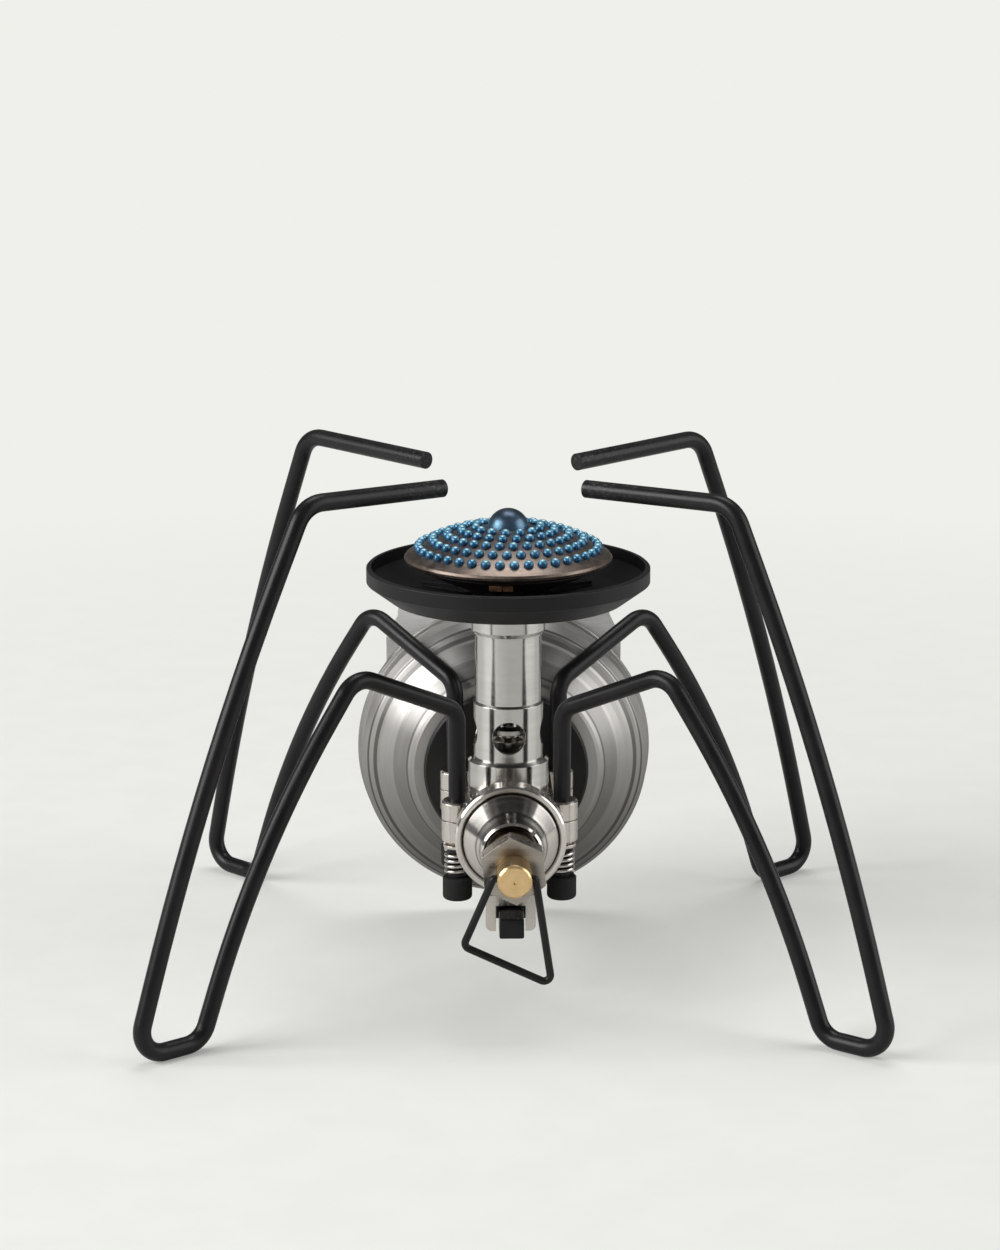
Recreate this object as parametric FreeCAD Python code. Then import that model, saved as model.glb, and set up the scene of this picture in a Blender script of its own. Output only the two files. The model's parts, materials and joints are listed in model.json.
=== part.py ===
import FreeCAD, Part
import math
import os

# Camping stove on four folding wire legs, with a remote cup for a gas can behind it.
# Units are millimetres. +X is right, +Y points to the gas can, +Z is up.
# The origin is on the ground, under the burner column.

Vector = FreeCAD.Vector
X_AXIS = Vector(1, 0, 0)
Y_AXIS = Vector(0, 1, 0)
Z_AXIS = Vector(0, 0, 1)

# ---- legs: one wire each, bent in one upright plane, given as reach from the pivot and height
WIRE = 4.0                      # wire diameter
PIVOT_Y = 12.4
FRONT_PIVOT_X, REAR_PIVOT_X = 12.0, 12.2
# name: (side in X, end in Y, plan angle from the X axis with the leg open in degrees,
#        how far its crown stands out from the common shape, how far its arm's tip does)
LEGS = {"front_left": (-1, -1, 37.0, -3.6, -1.6), "front_right": (1, -1, 38.1, 0.0, 0.8),
        "rear_left": (-1, 1, 45.1, 4.6, 3.6), "rear_right": (1, 1, 40.2, 1.0, 0.0)}
SHAFT_FOOT = 21.6
SHAFT_TOP = 65.1
KNEE = (28.2, 77.6)
FOOT_IN, FOOT_OUT = 70.7, 87.8
CROWN = (44.8, 117.8)
TIP = (5.4, 116.8)
SHAFT_BEND, KNEE_BEND, FOOT_BEND, CROWN_BEND = 5.0, 6.0, 5.5, 7.0
INNER_BOW, OUTER_BOW = 6.4, 4.6   # how far each riser's control point stands out from its chord
BOW_SHARE = 0.75                # share of a riser's half length taken up by its large arc

# ---- leg hinges
EAR_RADIUS = 3.6
EAR_LOW, EAR_HIGH = 39.4, 43.8
COLLAR_LOW, COLLAR_HIGH = 33.5, 39.2
HINGE_FIT = 0.05                # radial running clearance of the wire in its ear
WASHER_LOW, WASHER_HIGH = 32.7, 33.4
SPRING_LOW, SPRING_HIGH = 25.9, 32.3
SPRING_WIRE, SPRING_MEAN, SPRING_TURNS = 0.8, 2.62, 4.5
CAP_RADIUS, CAP_LOW, CAP_HIGH = 3.4, 20.2, 25.5

# ---- regulator, on a fore and aft axis
AXIS_Z = 37.0
BODY_RADIUS = 7.6
BODY_FRONT, BODY_BACK = -16.3, 12.8
RING_RADIUS, RING_BORE = 12.65, 11.0
RING_FRONT, RING_BACK = -22.5, -17.4
CAP_FRONT = -32.0
CHAMBER_RADIUS = 7.4
GLAND_RADIUS = 5.4
NUT_FLATS = 13.5
NUT_FRONT, NUT_BACK = -45.0, -39.5
NUT_TURN = -5.0                 # turn of the nut's top corner from upright, degrees
STEM_RADIUS, STEM_FRONT, STEM_STEP = 3.8, -52.5, -38.4
STEM_CORE = 2.5
STEM_TIP = -25.4
STEM_FIT = 0.06

# ---- handle, a wire loop hanging in a cross hole of the stem
HANDLE_WIRE = 1.7
HANDLE_Y = -49.5
HANDLE_FIT = 0.08
HANDLE_END = 0.3                # the wire's two ends stop this far from the middle of the hole
HANDLE_LOOP = [(-4.6, 0), (-11.2, -15.5), (8.3, -24.7), (4.6, 0)]
HANDLE_BENDS = [0.9, 1.4, 1.4, 0.9]

# ---- column
BOSS_RADIUS = 7.0
BASE_RADIUS, BASE_LOW, BASE_HIGH = 9.45, 43.85, 50.9
BRIDGE_TOP = 46.2               # top of the saddle's front bridge
SLEEVE_RADIUS, SLEEVE_HIGH = 8.15, 64.3
TUBE_RADIUS, TUBE_BORE, TUBE_HIGH = 7.65, 6.4, 90.6
TOP_COLLAR_RADIUS, TOP_COLLAR_LOW, TOP_COLLAR_HIGH = 8.7, 80.4, 87.2
AIR_HOLE_RADIUS, AIR_HOLE_Z = 3.8, 56.9
SPIGOT_RADIUS = 6.9

# ---- pan and burner
PAN_RADIUS, PAN_RIM, PAN_BAND = 32.5, 95.9, 92.5
PAN_HEEL = (27.0, 88.4)
PAN_HUB_Z = 87.2
PAN_WALL, PAN_FLOOR = 1.1, 1.5
HEAD_RADIUS, HEAD_SHOULDER = 23.8, 22.6
HEAD_SHOULDER_Z, HEAD_TOP = 99.0, 105.2
HEAD_WALL = 1.0
PORT_RADIUS, PORT_RISE = 1.12, 0.15
PORT_ROWS = [(20.5, 40), (17.2, 34), (13.9, 28), (10.6, 21), (7.4, 14)]
KNOB_RADIUS, KNOB_Z = 4.8, 104.4
ELECTRODE_Y, ELECTRODE_RADIUS, INSULATOR_RADIUS = 27.6, 0.6, 1.9

# ---- can cup, on its own axis above the regulator's
CUP_Z = 42.0
CUP_SKIN = 0.8
CUP_BACK = 40.0
SOCKET_RADIUS = 33.8
SEAT_RADIUS, SEAT_FRONT, SEAT_BACK = 19.6, 16.3, 18.0
INLET_RADIUS = 6.2
SHIELD_HALF, SHIELD_TOP_HALF = 28.5, 25.7
SHIELD_STEP_LOW, SHIELD_STEP_HIGH, SHIELD_TOP = 69.0, 74.7, 82.0
SHIELD_SKIN, SHIELD_CORNER = 0.8, 7.0

# ---- igniter under the regulator
FORK_HALF, SLOT_HALF = 5.7, 3.35
FORK_FRONT, FORK_BACK = -22.6, -21.4
FORK_LOW, SLOT_TOP, FORK_HIGH = 15.6, 21.6, 24.1
FORK_RIVETS_Y = (-7.0, -3.0)
BUTTON_HALF, BUTTON_LOW, BUTTON_HIGH = 2.8, 16.5, 21.2
BUTTON_FRONT, BUTTON_BACK = -31.0, -24.6
IGNITER_HALF, IGNITER_LOW, IGNITER_HIGH = 4.3, 17.8, 22.8
IGNITER_FRONT, IGNITER_BACK = -20.2, 9.0
PLUNGER_HALF, PLUNGER_LOW, PLUNGER_HIGH = 1.9, 18.9, 21.0
SLIDE_FIT = 0.1


def export(shape, node):
    shape.exportStep("parts/%s.step" % node)


def join(shapes):
    """Fuse touching or crossing solids into one, without leftover seams."""
    return shapes[0].multiFuse(shapes[1:]).removeSplitter()


def turn_profile(points, place, axis):
    """A solid of revolution: points are (radius, distance along the axis) from place."""
    across = X_AXIS
    corners = [place + across * r + axis * d for r, d in points]
    face = Part.Face(Part.makePolygon(corners + corners[:1]))
    return face.revolve(place, axis, 360)


def upright(points):
    return turn_profile(points, Vector(0, 0, 0), Z_AXIS)


def along_y(points, z):
    return turn_profile(points, Vector(0, 0, z), Y_AXIS)


def rod_y(radius, y0, y1, x, z):
    return Part.makeCylinder(radius, y1 - y0, Vector(x, y0, z), Y_AXIS)


def rod_z(radius, z0, z1, x, y):
    return Part.makeCylinder(radius, z1 - z0, Vector(x, y, z0), Z_AXIS)


def rod_x(radius, x0, x1, y, z):
    return Part.makeCylinder(radius, x1 - x0, Vector(x0, y, z), X_AXIS)


def block(x0, x1, y0, y1, z0, z1):
    return Part.makeBox(x1 - x0, y1 - y0, z1 - z0, Vector(x0, y0, z0))


def bend_path(points, radii):
    """Straight runs through the points, joined by a tangent arc of its own radius at each inner one."""
    edges = []
    start = points[0]
    for i, radius in enumerate(radii):
        before, corner, after = points[i], points[i + 1], points[i + 2]
        back = (before - corner).normalize()
        ahead = (after - corner).normalize()
        half = back.getAngle(ahead) / 2
        cut = radius / math.tan(half)
        middle = (back + ahead).normalize()
        arc_in = corner + back * cut
        arc_out = corner + ahead * cut
        arc_mid = corner + middle * (radius / math.sin(half) - radius)
        edges.append(Part.LineSegment(start, arc_in).toShape())
        edges.append(Part.Arc(arc_in, arc_mid, arc_out).toShape())
        start = arc_out
    edges.append(Part.LineSegment(start, points[-1]).toShape())
    return Part.Wire(edges)


def wire_solid(points, radii, diameter):
    """Round wire along a bent path."""
    path = bend_path(points, radii)
    circle = Part.Circle(points[0], points[1] - points[0], diameter / 2)
    section = Part.Wire([circle.toShape()])
    return path.makePipeShell([section], True, False)


def coil(mean_radius, wire, length, turns, place, axis):
    """A helical spring that starts at place and winds along axis."""
    pitch = (length - wire) / turns
    helix = Part.makeHelix(pitch, pitch * turns, mean_radius)
    rise = pitch / (2 * math.pi * mean_radius)
    circle = Part.Circle(Vector(mean_radius, 0, 0), Vector(0, 1, rise), wire / 2)
    section = Part.Wire([circle.toShape()])
    spring = Part.Wire(helix.Edges).makePipeShell([section], True, True)
    spring.translate(Vector(0, 0, wire / 2))
    spring.Placement = FreeCAD.Placement(place, FreeCAD.Rotation(Z_AXIS, axis)).multiply(spring.Placement)
    return spring


# ------------------------------------------------------------------ legs

def bowed(start, end, bow):
    """The control point of a bowed riser and the radius of its large arc."""
    mid = ((start[0] + end[0]) / 2, (start[1] + end[1]) / 2)
    run, drop = end[0] - start[0], end[1] - start[1]
    length = math.hypot(run, drop)
    point = (mid[0] - bow * drop / length, mid[1] + bow * run / length)
    radius = BOW_SHARE * (length / 2) ** 2 / bow
    return point, radius


def leg_wire(base, out, crown_shift, tip_shift):
    """The whole leg: hinge shaft, inner riser, foot, outer riser and the arm under the pot."""
    low = WIRE / 2
    crown = (CROWN[0] + crown_shift, CROWN[1])
    tip = (TIP[0] + tip_shift, TIP[1])
    inner, inner_radius = bowed(KNEE, (FOOT_IN, low), INNER_BOW)
    outer, outer_radius = bowed(crown, (FOOT_OUT, low), OUTER_BOW)
    outline = [(0, SHAFT_FOOT), (0, SHAFT_TOP), KNEE, inner, (FOOT_IN, low),
               (FOOT_OUT, low), outer, crown, tip]
    radii = [SHAFT_BEND, KNEE_BEND, inner_radius, FOOT_BEND, FOOT_BEND, outer_radius, CROWN_BEND]
    points = [base + out * r + Z_AXIS * z for r, z in outline]
    return wire_solid(points, radii, WIRE)


def leg_collar(x, y):
    """Detent collar, fixed on the wire under its ear."""
    collar = rod_z(EAR_RADIUS, COLLAR_LOW, COLLAR_HIGH, x, y)
    collar = collar.makeChamfer(0.9, rim_edges(collar, COLLAR_LOW))
    return collar.cut(rod_z(WIRE / 2, COLLAR_LOW, COLLAR_HIGH, x, y))


def leg_washer(x, y):
    washer = rod_z(3.2, WASHER_LOW, WASHER_HIGH, x, y)
    return washer.cut(rod_z(WIRE / 2, WASHER_LOW, WASHER_HIGH, x, y))


def leg_cap(x, y):
    """Rubber cap on the foot of the hinge shaft."""
    cap = rod_z(CAP_RADIUS, CAP_LOW, CAP_HIGH, x, y)
    cap = cap.makeFillet(0.8, rim_edges(cap, CAP_LOW))
    cap = cap.makeChamfer(0.3, rim_edges(cap, CAP_HIGH))
    return cap.cut(rod_z(WIRE / 2, SHAFT_FOOT, CAP_HIGH, x, y))


def leg_spring(x, y):
    return coil(SPRING_MEAN, SPRING_WIRE, SPRING_HIGH - SPRING_LOW, SPRING_TURNS,
                Vector(x, y, SPRING_LOW), Z_AXIS)


def rim_edges(shape, z):
    """Full circles that lie at height z."""
    return [e for e in shape.Edges if abs(e.BoundBox.ZMin - z) < 1e-4 and e.BoundBox.ZLength < 1e-4]


def face_rims(shape, y):
    """Edges that lie in the plane at y."""
    return [e for e in shape.Edges if abs(e.BoundBox.YMin - y) < 1e-4 and e.BoundBox.YLength < 1e-4]


def pivot(side, end):
    """Plan position of a leg's hinge."""
    return side * (FRONT_PIVOT_X if end < 0 else REAR_PIVOT_X), end * PIVOT_Y


def pivots():
    return [pivot(leg[0], leg[1]) for leg in LEGS.values()]


def make_legs():
    for name, (side, end, angle, crown_shift, tip_shift) in LEGS.items():
        x, y = pivot(side, end)
        out = Vector(side * math.cos(math.radians(angle)), end * math.sin(math.radians(angle)), 0)
        wire = leg_wire(Vector(x, y, 0), out, crown_shift, tip_shift)
        export(wire, "leg_" + name)
        export(leg_collar(x, y), "detent_collar_" + name)
        export(leg_washer(x, y), "spring_washer_" + name)
        export(leg_spring(x, y), "leg_spring_" + name)
        export(leg_cap(x, y), "leg_cap_" + name)


# ------------------------------------------------------------------ valve body and brackets

def valve_blank():
    """Outside of the machined body: a barrel, a boss up to the jet and one back to the can inlet."""
    main = rod_y(BODY_RADIUS, BODY_FRONT, BODY_BACK, 0, AXIS_Z)
    flange = rod_y(10.6, RING_BACK + 0.1, BODY_FRONT, 0, AXIS_Z)
    boss = rod_z(BOSS_RADIUS, AXIS_Z, BASE_HIGH - 1.4, 0, 0)
    rear = rod_y(INLET_RADIUS, BASE_RADIUS + 0.05, SEAT_FRONT - 0.2, 0, CUP_Z)
    lug = block(-4.0, 4.0, -9.0, -1.0, FORK_HIGH, AXIS_Z)
    return join([main, flange, boss, rear, lug])


def valve_body(blank):
    """The body with its gas ways and the seat of the jet."""
    gas_way = rod_y(1.4, BODY_FRONT - 3.2, 4.0, 0, AXIS_Z)
    rise = rod_z(1.4, AXIS_Z, BASE_HIGH, 0, 0)
    jet_seat = rod_z(2.4, BASE_HIGH - 4.6, BASE_HIGH, 0, 0)
    inlet_way = rod_y(1.4, 3.0, SEAT_FRONT, 0, CUP_Z)
    link = rod_z(1.4, AXIS_Z, CUP_Z, 0, 3.5)
    return blank.cut([gas_way, rise, jet_seat, inlet_way, link])


def bracket_screw_places():
    return [(side * 7.4, end * PIVOT_Y) for side in (-1, 1) for end in (-1, 1)]


def leg_bracket(blank):
    """Saddle over the valve body that carries the four ears."""
    shapes = [block(-5.2, 5.2, -PIVOT_Y - 2.9, -BASE_RADIUS - 0.1, EAR_LOW, BRIDGE_TOP)]
    for side in (-1, 1):
        shapes.append(block(side * 8.8 - 1.3, side * 8.8 + 1.3, -PIVOT_Y, PIVOT_Y, EAR_LOW, EAR_HIGH))
        beam_half = FRONT_PIVOT_X
        y = side * PIVOT_Y
        shapes.append(block(-beam_half, beam_half, y - 2.9, y + 2.9, EAR_LOW, EAR_HIGH))
    for x, y in pivots():
        ear = rod_z(EAR_RADIUS, EAR_LOW, EAR_HIGH, x, y)
        shapes.append(ear.makeChamfer(0.4, rim_edges(ear, EAR_HIGH)))
    saddle = join(shapes)
    bores = [rod_z(WIRE / 2 + HINGE_FIT, EAR_LOW - 1, EAR_HIGH + 1, x, y) for x, y in pivots()]
    seats = [rod_z(1.0, EAR_LOW - 1, EAR_HIGH + 3, x, y) for x, y in bracket_screw_places()]
    return saddle.cut(bores + seats + [blank])


def bracket_screws(blank):
    """Cap screws that hold the saddle."""
    screws = []
    for x, y in bracket_screw_places():
        shank = rod_z(1.0, EAR_LOW, EAR_HIGH, x, y)
        head = rod_z(1.7, EAR_HIGH, EAR_HIGH + 1.4, x, y)
        hexagon = prism_z(1.5, EAR_HIGH + 0.6, EAR_HIGH + 1.5, x, y)
        screws.append(join([shank, head]).cut([hexagon, blank]))
    return Part.makeCompound(screws)


def prism_z(across_flats, z0, z1, x, y):
    """Upright hexagonal prism."""
    radius = across_flats / math.sqrt(3)
    corners = [Vector(x + radius * math.cos(math.radians(60 * k)),
                      y + radius * math.sin(math.radians(60 * k)), z0) for k in range(6)]
    return Part.Face(Part.makePolygon(corners + corners[:1])).extrude(Vector(0, 0, z1 - z0))


# ------------------------------------------------------------------ column

def base_collar(blank):
    """Collar on the body's boss; its skirt is cut away where it crosses the body."""
    profile = [(BOSS_RADIUS, BASE_LOW), (BASE_RADIUS, BASE_LOW), (BASE_RADIUS, BASE_HIGH - 0.7),
               (BASE_RADIUS - 0.7, BASE_HIGH), (BOSS_RADIUS, BASE_HIGH)]
    return upright(profile).cut(blank)


def air_sleeve():
    """Sleeve round the jet, with four round air holes."""
    profile = [(SPIGOT_RADIUS, BASE_HIGH), (SLEEVE_RADIUS, BASE_HIGH), (SLEEVE_RADIUS, SLEEVE_HIGH - 0.5),
               (SLEEVE_RADIUS - 0.5, SLEEVE_HIGH), (SPIGOT_RADIUS, SLEEVE_HIGH)]
    sleeve = upright(profile)
    holes = [rod_y(AIR_HOLE_RADIUS, -20, 20, 0, AIR_HOLE_Z), rod_x(AIR_HOLE_RADIUS, -20, 20, 0, AIR_HOLE_Z)]
    return sleeve.cut(holes)


def mixing_tube():
    profile = [(TUBE_BORE, 61.0), (SPIGOT_RADIUS, 61.0), (SPIGOT_RADIUS, SLEEVE_HIGH),
               (TUBE_RADIUS, SLEEVE_HIGH), (TUBE_RADIUS, TUBE_HIGH), (TUBE_BORE, TUBE_HIGH)]
    return upright(profile)


def tube_collar():
    """Collar that carries the pan, with a fine groove above its chamfer."""
    groove = 80.9
    profile = [(TUBE_RADIUS, TOP_COLLAR_LOW - 0.4), (TUBE_RADIUS + 0.25, TOP_COLLAR_LOW - 0.4),
               (TUBE_RADIUS + 0.25, TOP_COLLAR_LOW), (TOP_COLLAR_RADIUS - 0.7, TOP_COLLAR_LOW),
               (TOP_COLLAR_RADIUS, groove + 0.5), (TOP_COLLAR_RADIUS, TOP_COLLAR_HIGH),
               (TUBE_RADIUS, TOP_COLLAR_HIGH)]
    return upright(profile)


def gas_jet():
    """Brass jet with a round deflector plate that shows through the air holes."""
    profile = [(0.4, 46.5), (2.4, 46.5), (2.4, 51.2), (3.6, 51.2), (3.6, 54.6), (2.2, 55.4),
               (2.2, 56.8), (5.6, 56.8), (5.6, 57.9), (2.2, 57.9), (1.3, 60.2), (0.4, 60.2)]
    return upright(profile)


# ------------------------------------------------------------------ pan and burner

def drip_pan():
    """Shallow cast pan with eight low ribs on its floor."""
    heel_r, heel_z = PAN_HEEL
    floor_z = heel_z + PAN_FLOOR
    hub_z = PAN_HUB_Z + PAN_FLOOR
    profile = [(TUBE_RADIUS, PAN_HUB_Z), (heel_r, heel_z), (PAN_RADIUS, PAN_BAND),
               (PAN_RADIUS, PAN_RIM - 0.3), (PAN_RADIUS - 0.3, PAN_RIM),
               (PAN_RADIUS - PAN_WALL, PAN_RIM), (PAN_RADIUS - PAN_WALL, PAN_BAND + 0.6),
               (heel_r - 0.8, floor_z), (TUBE_RADIUS, hub_z)]
    pan = upright(profile)
    ribs = []
    for k in range(8):
        rib = block(TUBE_RADIUS + 1.5, 21.0, -0.5, 0.5, PAN_HUB_Z + 1.0, floor_z + 0.55)
        rib.rotate(Vector(0, 0, 0), Z_AXIS, 22.5 + 45 * k)
        ribs.append(rib)
    pan = join([pan] + ribs)
    return pan.cut(rod_z(INSULATOR_RADIUS, 80, 100, 0, ELECTRODE_Y))


def dome_ball():
    """The sphere that the head's upper face belongs to, and its radius."""
    rise = HEAD_TOP - HEAD_SHOULDER_Z
    radius = (HEAD_SHOULDER ** 2 + rise ** 2) / (2 * rise)
    return Part.makeSphere(radius, Vector(0, 0, HEAD_TOP - radius)), radius


def burner_head():
    """Domed head: a spherical cap with a rolled rim."""
    ball, radius = dome_ball()
    hollow = Part.makeSphere(radius - HEAD_WALL, Vector(0, 0, HEAD_TOP - radius))
    above = rod_z(HEAD_SHOULDER, HEAD_SHOULDER_Z - 0.6, HEAD_TOP + 1, 0, 0)
    cap = ball.common(above).cut(hollow)
    rim_profile = [(HEAD_SHOULDER - 1.2, HEAD_SHOULDER_Z - 1.5), (HEAD_SHOULDER - 1.2, HEAD_SHOULDER_Z - 0.4),
                   (HEAD_SHOULDER, HEAD_SHOULDER_Z), (HEAD_RADIUS - 0.35, 98.55), (HEAD_RADIUS, 98.0),
                   (HEAD_RADIUS - 0.1, 97.4), (HEAD_RADIUS - 0.7, 97.0), (HEAD_SHOULDER - 1.2, 96.8)]
    return join([cap, upright(rim_profile)])


def port_points():
    """Centres of the flame ports: even rows, each started half a step round from the last."""
    ball, radius = dome_ball()
    centre = HEAD_TOP - radius
    points = []
    for row, (ring, count) in enumerate(PORT_ROWS):
        height = centre + math.sqrt(radius ** 2 - ring ** 2) + PORT_RISE
        for k in range(count):
            angle = 2 * math.pi * (k + 0.25) / count
            points.append(Vector(ring * math.cos(angle), ring * math.sin(angle), height))
    return points


def flame_ports():
    """Raised round ports, one solid each, standing on the dome."""
    ball, radius = dome_ball()
    return Part.makeCompound([Part.makeSphere(PORT_RADIUS, p).cut(ball) for p in port_points()])


def burner_knob():
    """Round centre piece of the head."""
    ball, radius = dome_ball()
    return Part.makeSphere(KNOB_RADIUS, Vector(0, 0, KNOB_Z)).cut(ball)


def burner_cup():
    """Dark cup under the head, with six gas windows."""
    profile = [(TUBE_RADIUS, 90.7), (10.2, 90.7), (13.0, 92.2), (17.6, 94.4), (21.4, 96.2),
               (21.4, 97.5), (20.4, 97.5), (20.4, 96.9), (17.0, 95.4), (12.4, 93.3), (9.8, 91.9),
               (TUBE_RADIUS, 91.9)]
    cup = upright(profile)
    windows = []
    for k in range(6):
        window = block(11.6, 16.6, -2.9, 2.9, 91.0, 95.9)
        window.rotate(Vector(0, 0, 0), Z_AXIS, 30 + 60 * k)
        windows.append(window)
    return cup.cut(windows)


def burner_core():
    """Copper coloured spreader sleeve inside the cup."""
    profile = [(TUBE_BORE, 92.0), (9.6, 92.0), (9.6, 97.0), (8.2, 98.4), (TUBE_BORE, 98.4)]
    return upright(profile)


def electrode():
    points = [Vector(0, ELECTRODE_Y, 80.5), Vector(0, ELECTRODE_Y, 99.6), Vector(0, ELECTRODE_Y - 3.2, 101.2)]
    return wire_solid(points, [1.4], 2 * ELECTRODE_RADIUS)


def electrode_insulator():
    profile = [(ELECTRODE_RADIUS, 83.0), (INSULATOR_RADIUS, 83.0), (INSULATOR_RADIUS, 93.4), (1.5, 94.2),
               (1.3, 96.4), (ELECTRODE_RADIUS, 96.4)]
    return turn_profile(profile, Vector(0, ELECTRODE_Y, 0), Z_AXIS)


# ------------------------------------------------------------------ regulator and valve

def regulator_ring():
    """Union ring with a fine knurl between two lands."""
    profile = [(RING_BORE, RING_BACK), (RING_RADIUS - 0.4, RING_BACK), (RING_RADIUS, RING_BACK - 0.4),
               (RING_RADIUS, RING_FRONT + 0.4), (RING_RADIUS - 0.4, RING_FRONT), (RING_BORE + 0.5, RING_FRONT),
               (RING_BORE, RING_FRONT + 0.5)]
    ring = along_y(profile, AXIS_Z)
    grooves = []
    count = 48
    for k in range(count):
        groove = block(-0.22, 0.22, RING_FRONT + 1.3, RING_BACK - 1.3, RING_RADIUS - 0.22, RING_RADIUS + 1)
        groove.translate(Vector(0, 0, AXIS_Z))
        groove.rotate(Vector(0, 0, AXIS_Z), Y_AXIS, 360.0 * k / count)
        grooves.append(groove)
    return ring.cut(grooves)


def regulator_cap():
    """Stepped cone over the spring chamber, bored for the gland."""
    profile = [(GLAND_RADIUS, -26.0), (CHAMBER_RADIUS, -26.0), (CHAMBER_RADIUS, -18.4),
               (RING_BORE - 0.1, -18.4), (RING_BORE - 0.1, -22.0), (10.7, -22.9), (8.1, -27.2),
               (7.9, -27.9), (7.2, -29.6), (7.3, -30.4), (7.0, -31.4), (6.5, CAP_FRONT),
               (5.95, CAP_FRONT + 0.5), (5.95, -29.0), (GLAND_RADIUS, -29.0)]
    cone = along_y(profile, AXIS_Z)
    notch = block(5.5, 8.6, -33.0, -30.6, -0.5, 0.5)
    notch.translate(Vector(0, 0, AXIS_Z))
    notch.rotate(Vector(0, 0, AXIS_Z), Y_AXIS, -44)
    return cone.cut(notch)


def diaphragm():
    return rod_y(RING_BORE - 0.4, -17.9, -17.4, 0, AXIS_Z)


def diaphragm_plate():
    profile = [(0, -18.0), (6.6, -18.0), (6.6, -18.9), (3.0, -18.9), (3.0, -20.0), (0, -20.0)]
    return along_y(profile, AXIS_Z)


def regulator_spring():
    return coil(4.6, 0.8, 5.0, 3, Vector(0, -24.0, AXIS_Z), Y_AXIS)


def spring_follower():
    profile = [(0, -25.2), (6.6, -25.2), (6.6, -24.1), (3.4, -24.1), (3.4, -23.0), (0, -23.0)]
    return along_y(profile, AXIS_Z)


def gland():
    """Brass bush that guides the stem and holds its seal."""
    profile = [(STEM_CORE + STEM_FIT, -26.2), (GLAND_RADIUS, -26.2), (GLAND_RADIUS, -38.6),
               (GLAND_RADIUS - 0.5, NUT_BACK), (STEM_RADIUS + STEM_FIT, NUT_BACK),
               (STEM_RADIUS + STEM_FIT, -34.6), (STEM_CORE + STEM_FIT, -34.6)]
    return along_y(profile, AXIS_Z)


def gland_nut():
    """Hexagon nut with a corner nearly up and its back face chamfered to a round."""
    radius = NUT_FLATS / math.sqrt(3)
    corners = [Vector(radius * math.sin(math.radians(60 * k + NUT_TURN)), NUT_FRONT,
                      AXIS_Z + radius * math.cos(math.radians(60 * k + NUT_TURN))) for k in range(6)]
    nut = Part.Face(Part.makePolygon(corners + corners[:1])).extrude(Vector(0, NUT_BACK - NUT_FRONT, 0))
    round_face = NUT_FLATS / 2
    rise = (radius - round_face) * math.tan(math.radians(30))
    turned = along_y([(0, NUT_FRONT - 1), (radius + 1, NUT_FRONT - 1), (radius + 1, NUT_BACK - rise - 0.5),
                      (radius, NUT_BACK - rise - 0.5), (round_face - 0.2, NUT_BACK), (0, NUT_BACK)], AXIS_Z)
    return nut.common(turned).cut(rod_y(STEM_RADIUS + STEM_FIT, NUT_FRONT - 1, NUT_BACK + 1, 0, AXIS_Z))


def stem_seal():
    ring_radius = 0.6
    seal = Part.makeTorus(STEM_CORE + ring_radius + STEM_FIT, ring_radius, Vector(0, -35.4, AXIS_Z), Y_AXIS)
    return seal


def valve_stem():
    """Brass stem with a cross hole for the handle and a small turned centre in its face."""
    profile = [(0, STEM_FRONT + 0.25), (0.5, STEM_FRONT), (STEM_RADIUS - 0.45, STEM_FRONT),
               (STEM_RADIUS, STEM_FRONT + 0.45), (STEM_RADIUS, STEM_STEP), (STEM_CORE, STEM_STEP + 0.8),
               (STEM_CORE, STEM_TIP - 0.6), (STEM_CORE - 0.6, STEM_TIP), (0, STEM_TIP)]
    stem = along_y(profile, AXIS_Z)
    hole_radius = HANDLE_WIRE / 2 + HANDLE_FIT
    return stem.cut(rod_x(hole_radius, -STEM_RADIUS - 1, STEM_RADIUS + 1, HANDLE_Y, AXIS_Z))


def control_handle():
    """Wire loop: both ends in the stem's cross hole, down both sides, and across the slanted bottom."""
    path = [(-HANDLE_END, 0)] + HANDLE_LOOP + [(HANDLE_END, 0)]
    return wire_solid([Vector(x, HANDLE_Y, AXIS_Z + z) for x, z in path], HANDLE_BENDS, HANDLE_WIRE)


# ------------------------------------------------------------------ can cup

def skin(points, thickness):
    """Close an open outline (radius, y) into a sheet of even thickness, on the side of larger y."""
    normals = []
    for (r0, y0), (r1, y1) in zip(points, points[1:]):
        length = math.hypot(r1 - r0, y1 - y0)
        normals.append((-(y1 - y0) / length, (r1 - r0) / length))
    inner = []
    for i, (r, y) in enumerate(points):
        before = normals[max(i - 1, 0)]
        after = normals[min(i, len(normals) - 1)]
        nr, ny = before[0] + after[0], before[1] + after[1]
        scale = thickness * 2 / (nr * nr + ny * ny)
        inner.append((r + nr * scale, y + ny * scale))
    return points + inner[::-1]


def can_cup():
    """Spun dish: flat seat, cone, rounded shoulder, groove and a straight socket wall."""
    wall = SOCKET_RADIUS + CUP_SKIN
    outline = [(INLET_RADIUS, SEAT_BACK), (21.9, SEAT_BACK), (22.7, 18.4), (24.0, 20.0), (26.2, 22.5),
               (27.6, 23.8), (29.0, 24.8), (30.3, 25.6), (31.1, 26.6), (31.7, 27.3), (32.6, 27.7),
               (33.3, 28.5), (33.9, 29.7), (wall, 31.0), (wall, 38.3)]
    dish = along_y(skin(outline, CUP_SKIN), CUP_Z)
    lip = along_y([(SOCKET_RADIUS, 38.3), (wall, 38.3), (wall + 0.7, 38.5), (wall + 1.0, 39.0),
                   (wall + 1.0, 39.6), (wall + 0.7, CUP_BACK), (SOCKET_RADIUS + 0.4, CUP_BACK),
                   (SOCKET_RADIUS, 39.6)], CUP_Z)
    return join([dish, lip]).cut(seat_holes())


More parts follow.
